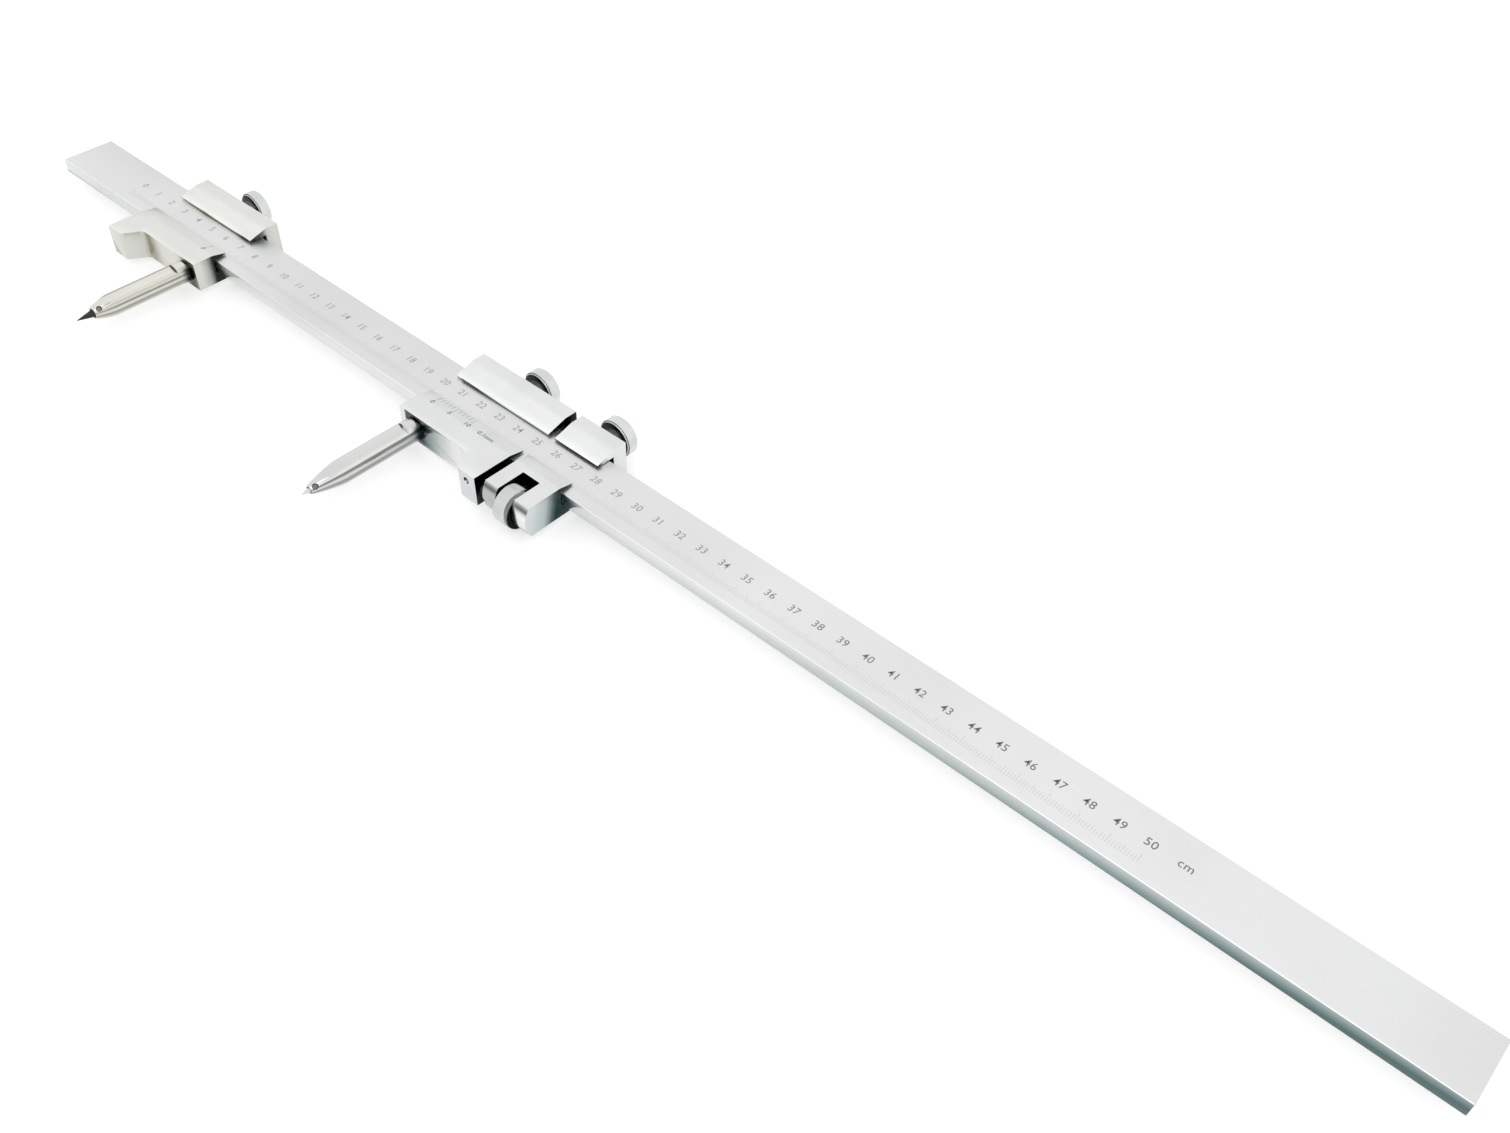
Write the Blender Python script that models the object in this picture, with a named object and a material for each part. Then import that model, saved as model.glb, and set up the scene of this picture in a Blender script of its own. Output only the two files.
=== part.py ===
"""Beam compass for large circles.

A flat graduated beam carries two sliders with scriber points.  The right
slider has a vernier and hangs on a small clamp block by a fine-adjustment
screw, whose knurled nut turns in the block's open clevis.

Frame: metres, X along the beam from the middle of its left end face, Y away
from the scribers, Z out of the graduated face.
"""

import math

import bmesh
import bpy

# The beam
beam_length = 0.642
beam_width = 0.023
beam_thickness = 0.006
beam_edge_break = 0.0003
scale_zero_from_end = 0.045

# Running gaps between neighbouring pieces
fit_gap = 0.0003
needle_gap = 0.0002

# Where the pieces stand on the scale in the photograph
left_scriber_reading = 0.0624
right_scriber_reading = 0.2086

# The two sliders, cross-section across the beam
slider_length = 0.050
scriber_inset = 0.0078
floor_thickness = 0.0041
near_wall_width = 0.0090
far_wall_width = 0.0060
near_top_rise = 0.0020
far_top_rise = 0.0033
near_lip_reach = 0.0056
near_lip_edge = 0.0005
near_bevel_width = 0.0058
far_lip_reach = 0.0077
far_lip_edge = 0.0007
far_bevel_width = 0.0084

# The lug on the outer end of each slider
lug_reach = 0.0077
lug_tip_width = 0.0090
lug_root_width = 0.0140
lug_corner_radius = 0.0022
lug_fillet_radius = 0.0030

# The leaf gib between the beam and the far wall
gib_thickness = 0.0014
gib_end_setback = 0.0020

# The knurled thumb screws
lock_thread_diameter = 0.0050
lock_head_diameter = 0.0150
lock_head_width = 0.0052
lock_head_standoff = 0.0034
lock_head_chamfer = 0.0006
lock_collar_diameter = 0.0085
lock_collar_width = 0.0012
lock_point_chamfer = 0.0005
head_knurl_depth = 0.0003
head_knurl_teeth = 40

# The scriber holders
holder_diameter = 0.0090
holder_shoulder_from_face = 0.0337
holder_shank_diameter = 0.0060
holder_shank_length = 0.0065
holder_flat_height = 0.0032
holder_flat_start = 0.0050
holder_flat_end = 0.0400
slit_width = 0.0005
slit_floor_radius = 0.0024
slit_start_from_shoulder = 0.0010

# The right needle and the mouth it sits in
right_needle_diameter = 0.0022
right_nose_length = 0.0124
right_mouth_wall = 0.0005
right_needle_grip = 0.0090
right_needle_tip_from_face = 0.0495
right_needle_point_length = 0.0040
right_set_screw_from_mouth = 0.0017

# The left needle is thicker and dark
left_needle_diameter = 0.0036
left_nose_length = 0.0078
left_mouth_wall = 0.0005
left_needle_grip = 0.0070
left_needle_tip_from_face = 0.0484
left_needle_point_length = 0.0080
left_set_screw_from_mouth = 0.0020

# The small screws in the noses
set_screw_diameter = 0.0018
set_screw_sink = 0.0001
needle_point_radius = 0.0001

# The clamp block of the fine adjustment
fine_travel = 0.0030
block_length = 0.0218
block_lock_offset = 0.0012
left_cheek_width = 0.0064
clevis_width = 0.0084
cheek_top_reach = 0.0053
cheek_bulge = 0.0022
clevis_root_wall = 0.0028
nut_floor_clearance = 0.0015
fine_axis_drop = 0.0024

# The fine-adjustment screw, its nut, washer and pin
fine_thread_diameter = 0.0040
fine_root_diameter = 0.0060
fine_root_length = 0.0072
fine_screw_overrun = 0.0026
nut_diameter = 0.0144
nut_chamfer = 0.0007
nut_knurl_depth = 0.0003
nut_knurl_teeth = 48
washer_thickness = 0.0014
washer_rim_step = 0.0001
pin_diameter = 0.0020
pin_length = 0.0085
pin_recess = 0.0008
pin_from_end = 0.0046
pin_rise = 0.0038

# One overrun serves every cut
cut_overrun = 0.0020

# Counts and angles, which hold at any size
round_steps = 48
small_steps = 32
arc_steps = 10
nose_arc_steps = 14
slit_angle = math.radians(45)
right_flat_angle = math.radians(11)
left_flat_angle = math.radians(5)
full_turn = 2 * math.pi

# Places that follow from the sizes above
beam_top = beam_thickness / 2
channel_floor = -beam_top - fit_gap
body_bottom = channel_floor - floor_thickness
lip_underside = beam_top + fit_gap
near_top = beam_top + near_top_rise
far_top = beam_top + far_top_rise
channel_near = -beam_width / 2 - fit_gap
near_face = channel_near - near_wall_width
gib_near = beam_width / 2 + fit_gap
gib_far = gib_near + gib_thickness
channel_far = gib_far + fit_gap
far_face = channel_far + far_wall_width
near_lip_tip = channel_near + near_lip_reach
far_lip_tip = channel_far - far_lip_reach
wall_middle = (near_top + body_bottom) / 2
lug_face = near_face - lug_reach

left_slider_right_end = scale_zero_from_end + left_scriber_reading + scriber_inset
left_slider_x = left_slider_right_end - slider_length / 2
vernier_slider_left_end = scale_zero_from_end + right_scriber_reading - scriber_inset
vernier_slider_x = vernier_slider_left_end + slider_length / 2
vernier_slider_right_end = vernier_slider_left_end + slider_length
block_left_end = vernier_slider_right_end + fine_travel + fit_gap
block_x = block_left_end + block_length / 2
block_right_end = block_left_end + block_length

nut_radius = nut_diameter / 2
clevis_floor = channel_near - clevis_root_wall
fine_axis_y = clevis_floor - nut_floor_clearance - nut_radius
fine_axis_z = -fine_axis_drop
clevis_left = block_left_end + left_cheek_width
clevis_right = clevis_left + clevis_width
nut_width = clevis_width - washer_thickness - 3 * fit_gap
nut_left = clevis_left + fit_gap
washer_left = nut_left + nut_width + fit_gap
nut_x = nut_left + nut_width / 2
fine_screw_end = clevis_right + fine_screw_overrun


def remove_start_objects():
    for item in list(bpy.data.objects):
        bpy.data.objects.remove(item, do_unlink=True)


def steel(name, colour, roughness, metallic):
    material = bpy.data.materials.new(name)
    material.use_nodes = True
    shader = material.node_tree.nodes["Principled BSDF"]
    shader.inputs["Base Color"].default_value = (*colour, 1)
    shader.inputs["Roughness"].default_value = roughness
    shader.inputs["Metallic"].default_value = metallic
    return material


def assembly(name, x):
    """An empty on the beam's axis that carries one sliding group."""
    empty = bpy.data.objects.new(name, None)
    empty.location = (x, 0, 0)
    bpy.context.scene.collection.objects.link(empty)
    return empty


def place(name, shape, material, parent=None, location=(0, 0, 0)):
    """Turn a bmesh into an object, with its own material and parent."""
    bmesh.ops.recalc_face_normals(shape, faces=shape.faces)
    mesh = bpy.data.meshes.new(name)
    shape.to_mesh(mesh)
    shape.free()
    if material:
        mesh.materials.append(material)
    item = bpy.data.objects.new(name, mesh)
    item.location = location
    item.parent = parent
    bpy.context.scene.collection.objects.link(item)
    return item


def smooth(item):
    item.data.shade_smooth()
    item.data.set_sharp_from_angle(angle=math.radians(30))


def prism(outline, start, end, along):
    """Extrude a closed outline along X (points are y, z) or Z (points are x, y)."""
    shape = bmesh.new()
    if along == "X":
        corners = [(start, a, b) for a, b in outline]
        step = (end - start, 0, 0)
    else:
        corners = [(a, b, start) for a, b in outline]
        step = (0, 0, end - start)
    face = shape.faces.new([shape.verts.new(corner) for corner in corners])
    grown = bmesh.ops.extrude_face_region(shape, geom=[face])
    moved = [part for part in grown["geom"] if isinstance(part, bmesh.types.BMVert)]
    bmesh.ops.translate(shape, verts=moved, vec=step)
    return shape


def block(low, high):
    """A box between two corners."""
    outline = [(low[0], low[1]), (high[0], low[1]), (high[0], high[1]), (low[0], high[1])]
    return prism(outline, low[2], high[2], "Z")


def turned(profile, along, steps, closed=False):
    """Spin a profile of (radius, distance) points round the X or Y axis."""
    shape = bmesh.new()
    if along == "X":
        points = [(distance, 0, radius) for radius, distance in profile]
        axis = (1, 0, 0)
    else:
        points = [(0, distance, radius) for radius, distance in profile]
        axis = (0, 1, 0)
    verts = [shape.verts.new(point) for point in points]
    edges = [shape.edges.new(pair) for pair in zip(verts, verts[1:])]
    if closed:
        edges.append(shape.edges.new((verts[-1], verts[0])))
    bmesh.ops.spin(shape, geom=verts + edges, cent=(0, 0, 0), axis=axis,
                   angle=full_turn, steps=steps, use_duplicate=False)
    bmesh.ops.remove_doubles(shape, verts=shape.verts, dist=fit_gap / round_steps)
    return shape


def knurl(shape, along, rim_radius, depth, teeth):
    """Sink every second line of rim points, which leaves straight teeth."""
    for vert in shape.verts:
        across = vert.co.y if along == "X" else vert.co.x
        radius = math.hypot(across, vert.co.z)
        if radius < rim_radius - depth / 2:
            continue
        column = round(math.atan2(across, vert.co.z) / full_turn * 2 * teeth)
        if column % 2:
            share = (rim_radius - depth) / radius
            vert.co.z *= share
            if along == "X":
                vert.co.y *= share
            else:
                vert.co.x *= share


def cutter(shape, parent=None, location=(0, 0, 0)):
    item = place("cutter", shape, None, parent, location)
    item.hide_render = True
    item.display_type = "WIRE"
    return item


def combine(item, tool, operation):
    modifier = item.modifiers.new(operation.lower(), "BOOLEAN")
    modifier.operation = operation
    modifier.solver = "EXACT"
    modifier.object = tool


def drill(item, along, diameter, start, end, location, parent):
    """Cut a round hole along X or Y through a piece."""
    radius = diameter / 2
    profile = [(0, start), (radius, start), (radius, end), (0, end)]
    tool = cutter(turned(profile, along, small_steps), parent, location)
    combine(item, tool, "DIFFERENCE")


def arc(centre, radius, start, end, steps):
    """Points of a circular arc, given by its centre and two angles."""
    points = []
    for number in range(steps + 1):
        angle = start + (end - start) * number / steps
        points.append((centre[0] + radius * math.cos(angle), centre[1] + radius * math.sin(angle)))
    return points


def break_edges(item, width):
    """A small bevel on the sharp outer edges."""
    bevel = item.modifiers.new("edge_break", "BEVEL")
    bevel.width = width
    bevel.segments = 1
    bevel.limit_method = "ANGLE"
    bevel.angle_limit = math.radians(60)


def make_beam(material):
    shape = block((0, -beam_width / 2, -beam_top), (beam_length, beam_width / 2, beam_top))
    item = place("beam", shape, material)
    break_edges(item, beam_edge_break)
    return item


def clamp_section(near_side):
    """Section of a slider or block: near side, floor, far wall and the two lips."""
    return near_side + [
        (far_face, body_bottom),
        (far_face, far_top),
        (far_lip_tip + far_bevel_width, far_top),
        (far_lip_tip, lip_underside + far_lip_edge),
        (far_lip_tip, lip_underside),
        (channel_far, lip_underside),
        (channel_far, channel_floor),
        (channel_near, channel_floor),
        (channel_near, lip_underside),
        (near_lip_tip, lip_underside),
        (near_lip_tip, lip_underside + near_lip_edge),
        (near_lip_tip - near_bevel_width, near_top),
    ]


def lug_outline(side):
    """Plan of the near wall with the lug: straight tip, round corner, hollow fillet."""
    half = slider_length / 2
    run = lug_root_width - lug_tip_width
    slope = math.atan2(lug_reach, run)
    turn = math.pi / 2 - slope / 2
    corner_cut = lug_corner_radius / math.tan(turn)
    fillet_cut = lug_fillet_radius / math.tan(turn)
    corner_centre = (lug_tip_width - corner_cut, lug_face + lug_corner_radius)
    fillet_centre = (lug_root_width + fillet_cut, near_face - lug_fillet_radius)
    right_angle = math.pi / 2
    corner = arc(corner_centre, lug_corner_radius, -right_angle, slope - right_angle, arc_steps)
    fillet = arc(fillet_centre, lug_fillet_radius, slope + right_angle, right_angle, arc_steps)
    inner = (near_face + channel_near) / 2
    points = [(0, inner), (0, lug_face)] + corner + fillet[:-1]
    points.append((fillet_centre[0] + lug_fillet_radius, near_face))
    points.append((fillet_centre[0] + lug_fillet_radius, inner))
    return [(side * (half - x), y) for x, y in points]


def make_slider_body(name, side, parent, material):
    """A slider; side is 1 where the lug is at the +X end and -1 at the other."""
    half = slider_length / 2
    near_side = [(near_face, near_top), (near_face, body_bottom)]
    item = place(name, prism(clamp_section(near_side), -half, half, "X"), material, parent)
    lug = cutter(prism(lug_outline(side), body_bottom, near_top, "Z"), parent)
    combine(item, lug, "UNION")
    lock_hole = lock_thread_diameter + 2 * fit_gap
    drill(item, "Y", lock_hole, channel_far - cut_overrun, far_face + cut_overrun, (0, 0, 0), parent)
    shank_hole = holder_shank_diameter + 2 * fit_gap
    shank_end = near_face + holder_shank_length + fit_gap
    scriber_place = (-side * (half - scriber_inset), 0, wall_middle)
    drill(item, "Y", shank_hole, near_face - cut_overrun, shank_end, scriber_place, parent)
    return item


def add_fine_screw_seat(item, parent):
    """Root hole and pin hole in the lug of the vernier slider."""
    half = slider_length / 2
    root_hole = fine_root_diameter + 2 * fit_gap
    root_start = half - fine_root_length - fit_gap
    drill(item, "X", root_hole, root_start, half + cut_overrun, (0, fine_axis_y, fine_axis_z), parent)
    pin_hole = pin_diameter + 2 * fit_gap
    pin_place = (half - pin_from_end, 0, fine_axis_z + pin_rise)
    pin_end = lug_face + pin_recess + pin_length + fit_gap
    drill(item, "Y", pin_hole, lug_face - cut_overrun, pin_end, pin_place, parent)


def make_gib(name, length, parent, material):
    half = length / 2 - gib_end_setback
    shape = block((-half, gib_near, -beam_top), (half, gib_far, beam_top))
    return place(name, shape, material, parent)


def make_lock_screw(name, parent, material, x=0):
    """Thumb screw along Y: point, thread, collar and knurled head."""
    thread = lock_thread_diameter / 2
    head = lock_head_diameter / 2
    collar = lock_collar_diameter / 2
    head_start = far_face + lock_head_standoff
    head_end = head_start + lock_head_width
    collar_start = head_start - lock_collar_width
    profile = [
        (0, channel_far),
        (thread - lock_point_chamfer, channel_far),
        (thread, channel_far + lock_point_chamfer),
        (thread, collar_start),
        (collar, collar_start),
        (collar, head_start),
        (head - lock_head_chamfer, head_start),
        (head, head_start + lock_head_chamfer),
        (head, head_end - lock_head_chamfer),
        (head - lock_head_chamfer, head_end),
        (0, head_end),
    ]
    shape = turned(profile, "Y", 2 * head_knurl_teeth)
    knurl(shape, "Y", head, head_knurl_depth, head_knurl_teeth)
    return place(name, shape, material, parent, (x, 0, 0))


def nose_radius(values, from_mouth):
    """Radius of the cone at a distance from its mouth."""
    mouth = values["needle"] / 2 + needle_gap + values["wall"]
    return mouth + (holder_diameter / 2 - mouth) * from_mouth / values["nose"]


def make_holder(name, values, x, parent, material):
    """Round holder along -Y: shank in the slider, flat, cone, bore and slit."""
    radius = holder_diameter / 2
    shank = holder_shank_diameter / 2
    bore = values["needle"] / 2 + needle_gap
    face = near_face - fit_gap
    shoulder = near_face - holder_shoulder_from_face
    mouth = shoulder - values["nose"]
    bore_end = mouth + values["grip"] + needle_gap
    profile = [
        (0, near_face + holder_shank_length),
        (shank, near_face + holder_shank_length),
        (shank, face),
        (radius, face),
        (radius, shoulder),
        (nose_radius(values, 0), mouth),
        (bore, mouth),
        (bore, bore_end),
        (0, bore_end),
    ]
    centre = (x, 0, wall_middle)
    item = place(name, turned(profile, "Y", round_steps), material, parent, centre)
    flat = block(
        (-radius - cut_overrun, near_face - holder_flat_end, holder_flat_height),
        (radius + cut_overrun, near_face - holder_flat_start, radius + cut_overrun),
    )
    flat_tool = cutter(flat, parent, centre)
    flat_tool.rotation_euler = (0, values["flat_angle"], 0)
    combine(item, flat_tool, "DIFFERENCE")
    screw_y = mouth + values["screw"]
    slit = block(
        (-slit_width / 2, screw_y, slit_floor_radius + values["needle"] / 2 - right_needle_diameter / 2),
        (slit_width / 2, shoulder - slit_start_from_shoulder, radius + cut_overrun),
    )
    slit_tool = cutter(slit, parent, centre)
    slit_tool.rotation_euler = (0, slit_angle, 0)
    combine(item, slit_tool, "DIFFERENCE")
    hole = set_screw_diameter / 2 + needle_gap
    hole_tool = cutter(upright(hole, 0, radius + cut_overrun, screw_y), parent, centre)
    hole_tool.rotation_euler = (0, slit_angle, 0)
    combine(item, hole_tool, "DIFFERENCE")
    return item


def upright(radius, low, high, y):
    """A small cylinder along Z at a distance along Y."""
    outline = arc((0, y), radius, 0, full_turn, small_steps)[:-1]
    return prism(outline, low, high, "Z")


def make_needle(name, values, x, parent, material):
    radius = values["needle"] / 2
    mouth = near_face - holder_shoulder_from_face - values["nose"]
    tip = near_face - values["tip"]
    profile = [
        (0, mouth + values["grip"]),
        (radius, mouth + values["grip"]),
        (radius, tip + values["point"]),
        (needle_point_radius, tip),
        (0, tip),
    ]
    return place(name, turned(profile, "Y", small_steps), material, parent, (x, 0, wall_middle))


def make_set_screw(name, values, x, parent, material):
    """Sits in the cone's side hole, its end just under the cone's surface."""
    mouth = near_face - holder_shoulder_from_face - values["nose"]
    low = values["needle"] / 2 + needle_gap
    radius = set_screw_diameter / 2
    high = nose_radius(values, values["screw"] - radius) - set_screw_sink
    shape = upright(radius, low, high, mouth + values["screw"])
    item = place(name, shape, material, parent, (x, 0, wall_middle))
    item.rotation_euler = (0, slit_angle, 0)
    return item


def make_block_body(parent, material):
    """Clamp block; its near side is the clevis with rounded cheek ends."""
    half = block_length / 2
    height = near_top - body_bottom
    top_end = near_face - cheek_top_reach
    nose_size = (height * height / 4 + cheek_bulge * cheek_bulge) / (2 * cheek_bulge)
    centre = (top_end + nose_size - cheek_bulge, wall_middle)
    opening = math.asin(height / 2 / nose_size)
    nose = arc(centre, nose_size, math.pi - opening, math.pi + opening, nose_arc_steps)
    item = place("fine_block_body", prism(clamp_section(nose), -half, half, "X"), material, parent)
    slot = block(
        (clevis_left - block_x, top_end - cheek_bulge - cut_overrun, body_bottom - cut_overrun),
        (clevis_right - block_x, clevis_floor, near_top + cut_overrun),
    )
    combine(item, cutter(slot, parent), "DIFFERENCE")
    lock_hole = lock_thread_diameter + 2 * fit_gap
    lock_place = (block_lock_offset, 0, 0)
    drill(item, "Y", lock_hole, channel_far - cut_overrun, far_face + cut_overrun, lock_place, parent)
    screw_hole = fine_thread_diameter + 2 * fit_gap
    hole_end = fine_screw_end + fine_travel + fit_gap - block_x
    drill(item, "X", screw_hole, -half - cut_overrun, hole_end, (0, fine_axis_y, fine_axis_z), parent)
    return item


def make_fine_screw(parent, material):
    """Thread along X with a thicker root that is held in the lug by the pin."""
    root = fine_root_diameter / 2
    thread = fine_thread_diameter / 2
    root_end = slider_length / 2
    root_start = root_end - fine_root_length
    thread_end = fine_screw_end - vernier_slider_x
    profile = [
        (0, root_start),
        (root, root_start),
        (root, root_end),
        (thread, root_end),
        (thread, thread_end - lock_point_chamfer),
        (thread - lock_point_chamfer, thread_end),
        (0, thread_end),
    ]
    centre = (0, fine_axis_y, fine_axis_z)
    item = place("fine_screw", turned(profile, "X", small_steps), material, parent, centre)
    groove = pin_diameter + 2 * fit_gap
    groove_place = (slider_length / 2 - pin_from_end, fine_axis_y, fine_axis_z + pin_rise)
    drill(item, "Y", groove, -fine_root_diameter, fine_root_diameter, groove_place, parent)
    return item


def make_pin(parent, material):
    radius = pin_diameter / 2
    start = lug_face + pin_recess
    end = start + pin_length
    profile = [(0, start), (radius, start), (radius, end), (0, end)]
    centre = (slider_length / 2 - pin_from_end, 0, fine_axis_z + pin_rise)
    return place("fine_screw_pin", turned(profile, "Y", small_steps), material, parent, centre)


def make_nut(parent, material):
    """Knurled nut on the screw's axis, with its origin at its own middle."""
    bore = fine_thread_diameter / 2 + fit_gap
    half = nut_width / 2
    profile = [
        (bore, -half),
        (nut_radius - nut_chamfer, -half),
        (nut_radius, -half + nut_chamfer),
        (nut_radius, half - nut_chamfer),
        (nut_radius - nut_chamfer, half),
        (bore, half),
    ]
    shape = turned(profile, "X", 2 * nut_knurl_teeth, closed=True)
    knurl(shape, "X", nut_radius, nut_knurl_depth, nut_knurl_teeth)
    centre = (nut_x - block_x, fine_axis_y, fine_axis_z)
    return place("fine_nut", shape, material, parent, centre)


def make_washer(parent, material):
    bore = fine_thread_diameter / 2 + fit_gap
    rim = nut_radius - washer_rim_step
    profile = [(bore, 0), (rim, 0), (rim, washer_thickness), (bore, washer_thickness)]
    centre = (washer_left - block_x, fine_axis_y, fine_axis_z)
    shape = turned(profile, "X", round_steps, closed=True)
    return place("fine_thrust_washer", shape, material, parent, centre)


right_needle_values = {
    "needle": right_needle_diameter,
    "nose": right_nose_length,
    "wall": right_mouth_wall,
    "grip": right_needle_grip,
    "tip": right_needle_tip_from_face,
    "point": right_needle_point_length,
    "screw": right_set_screw_from_mouth,
    "flat_angle": right_flat_angle,
}
left_needle_values = {
    "needle": left_needle_diameter,
    "nose": left_nose_length,
    "wall": left_mouth_wall,
    "grip": left_needle_grip,
    "tip": left_needle_tip_from_face,
    "point": left_needle_point_length,
    "screw": left_set_screw_from_mouth,
    "flat_angle": left_flat_angle,
}

remove_start_objects()

satin_chrome = steel("satin_chrome", (0.72, 0.73, 0.74), 0.34, 1.0)
body_chrome = steel("body_chrome", (0.70, 0.71, 0.71), 0.32, 1.0)
screw_chrome = steel("screw_chrome", (0.62, 0.63, 0.64), 0.26, 1.0)
spring_steel = steel("spring_steel", (0.30, 0.31, 0.33), 0.40, 1.0)
holder_chrome = steel("holder_chrome", (0.66, 0.66, 0.65), 0.20, 1.0)
needle_bright = steel("needle_bright", (0.55, 0.56, 0.58), 0.25, 1.0)
needle_dark = steel("needle_dark", (0.02, 0.02, 0.022), 0.45, 0.3)
black_steel = steel("black_steel", (0.015, 0.015, 0.016), 0.45, 0.4)

make_beam(satin_chrome)

left_slider = assembly("left_slider", left_slider_x)
left_body = make_slider_body("left_slider_body", -1, left_slider, body_chrome)
make_gib("left_gib", slider_length, left_slider, spring_steel)
left_lock = make_lock_screw("left_lock_screw", left_slider, screw_chrome)
left_scriber_x = slider_length / 2 - scriber_inset
left_holder = make_holder("left_scriber_holder", left_needle_values, left_scriber_x, left_slider, holder_chrome)
left_needle = make_needle("left_scriber_needle", left_needle_values, left_scriber_x, left_slider, needle_dark)
make_set_screw("left_needle_set_screw", left_needle_values, left_scriber_x, left_slider, black_steel)

vernier_slider = assembly("vernier_slider", vernier_slider_x)
vernier_body = make_slider_body("vernier_slider_body", 1, vernier_slider, body_chrome)
add_fine_screw_seat(vernier_body, vernier_slider)
make_gib("vernier_gib", slider_length, vernier_slider, spring_steel)
vernier_lock = make_lock_screw("vernier_lock_screw", vernier_slider, screw_chrome)
right_scriber_x = scriber_inset - slider_length / 2
right_holder = make_holder("right_scriber_holder", right_needle_values, right_scriber_x, vernier_slider, holder_chrome)
right_needle = make_needle("right_scriber_needle", right_needle_values, right_scriber_x, vernier_slider, needle_bright)
make_set_screw("right_needle_set_screw", right_needle_values, right_scriber_x, vernier_slider, black_steel)
fine_screw = make_fine_screw(vernier_slider, screw_chrome)
fine_pin = make_pin(vernier_slider, black_steel)

fine_block = assembly("fine_block", block_x)
make_block_body(fine_block, body_chrome)
make_gib("fine_gib", block_length, fine_block, spring_steel)
fine_lock = make_lock_screw("fine_lock_screw", fine_block, screw_chrome, block_lock_offset)
fine_nut = make_nut(fine_block, screw_chrome)
fine_washer = make_washer(fine_block, screw_chrome)

for round_piece in (left_lock, vernier_lock, fine_lock, left_holder, right_holder, left_needle,
                    right_needle, fine_screw, fine_pin, fine_nut, fine_washer):
    smooth(round_piece)
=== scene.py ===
import bmesh
import bpy
import math
from mathutils import Matrix, Vector


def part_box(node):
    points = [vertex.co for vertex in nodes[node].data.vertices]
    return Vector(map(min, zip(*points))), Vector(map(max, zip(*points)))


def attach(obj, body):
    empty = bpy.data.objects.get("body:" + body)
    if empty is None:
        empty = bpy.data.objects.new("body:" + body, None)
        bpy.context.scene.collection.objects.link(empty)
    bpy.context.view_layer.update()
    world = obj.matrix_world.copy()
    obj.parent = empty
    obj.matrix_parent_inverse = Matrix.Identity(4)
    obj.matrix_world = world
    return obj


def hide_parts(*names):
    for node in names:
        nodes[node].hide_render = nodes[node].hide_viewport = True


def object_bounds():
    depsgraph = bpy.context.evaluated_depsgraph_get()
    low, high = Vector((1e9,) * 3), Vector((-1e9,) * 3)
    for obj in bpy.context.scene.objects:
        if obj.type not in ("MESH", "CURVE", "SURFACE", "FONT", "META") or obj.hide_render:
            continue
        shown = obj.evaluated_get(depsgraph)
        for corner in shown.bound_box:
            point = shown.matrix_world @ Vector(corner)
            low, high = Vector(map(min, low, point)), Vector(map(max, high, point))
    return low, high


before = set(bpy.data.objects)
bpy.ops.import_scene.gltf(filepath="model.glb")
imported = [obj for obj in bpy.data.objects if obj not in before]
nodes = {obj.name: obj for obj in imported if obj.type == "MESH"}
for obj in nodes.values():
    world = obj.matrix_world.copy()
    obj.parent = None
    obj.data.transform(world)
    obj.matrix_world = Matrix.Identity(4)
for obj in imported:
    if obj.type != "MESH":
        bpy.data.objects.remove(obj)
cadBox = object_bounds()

scene = bpy.context.scene
fullTurn = 2 * math.pi


# helpers for meshes

def addObject(name, mesh, material, body):
    piece = bpy.data.objects.new(name, mesh)
    scene.collection.objects.link(piece)
    mesh.materials.clear()
    mesh.materials.append(material)
    if body:
        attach(piece, body)
    return piece


def finalMesh(item):
    graph = bpy.context.evaluated_depsgraph_get()
    graph.update()
    return bpy.data.meshes.new_from_object(item.evaluated_get(graph))


def applyModifiers(piece):
    mesh, old = finalMesh(piece), piece.data
    piece.modifiers.clear()
    piece.data = mesh
    bpy.data.meshes.remove(old)


def shade(piece, degrees=30):
    piece.data.shade_smooth()
    piece.data.set_sharp_from_angle(angle=math.radians(degrees))


def cleanCopy(node, name):
    # the solid's own faces, joined back into flat polygons
    mesh = nodes[node].data.copy()
    mesh.name = name
    shape = bmesh.new()
    shape.from_mesh(mesh)
    bmesh.ops.remove_doubles(shape, verts=shape.verts, dist=1e-6)
    flat = math.radians(0.6)
    bmesh.ops.dissolve_limit(shape, angle_limit=flat, verts=shape.verts, edges=shape.edges)
    bmesh.ops.recalc_face_normals(shape, faces=shape.faces)
    shape.to_mesh(mesh)
    shape.free()
    return mesh


def softEdges(piece, width, segments):
    bevel = piece.modifiers.new("edge", "BEVEL")
    bevel.width = width
    bevel.segments = segments
    bevel.limit_method = "ANGLE"
    bevel.angle_limit = math.radians(35)
    bevel.use_clamp_overlap = True
    bevel.miter_outer = "MITER_ARC"
    bevel.harden_normals = False
    applyModifiers(piece)


def turned(profile, along, steps, centre=(0, 0, 0), wave=None):
    # a profile point is a distance along the axis and a radius, which wave may change
    shape = bmesh.new()
    rings = []
    for distance, radius in profile:
        ring = []
        for step in range(steps):
            angle = fullTurn * step / steps
            reach = wave(angle, radius, distance) if wave else radius
            across, up = reach * math.sin(angle), reach * math.cos(angle)
            offset = (distance, across, up) if along == "X" else (across, distance, up)
            ring.append(shape.verts.new([start + shift for start, shift in zip(centre, offset)]))
        rings.append(ring)
    for low, high in zip(rings, rings[1:]):
        for step in range(steps):
            after = (step + 1) % steps
            shape.faces.new((low[step], low[after], high[after], high[step]))
    bmesh.ops.remove_doubles(shape, verts=shape.verts, dist=1e-7)
    bmesh.ops.recalc_face_normals(shape, faces=shape.faces)
    mesh = bpy.data.meshes.new("turned")
    shape.to_mesh(mesh)
    shape.free()
    return mesh


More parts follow.
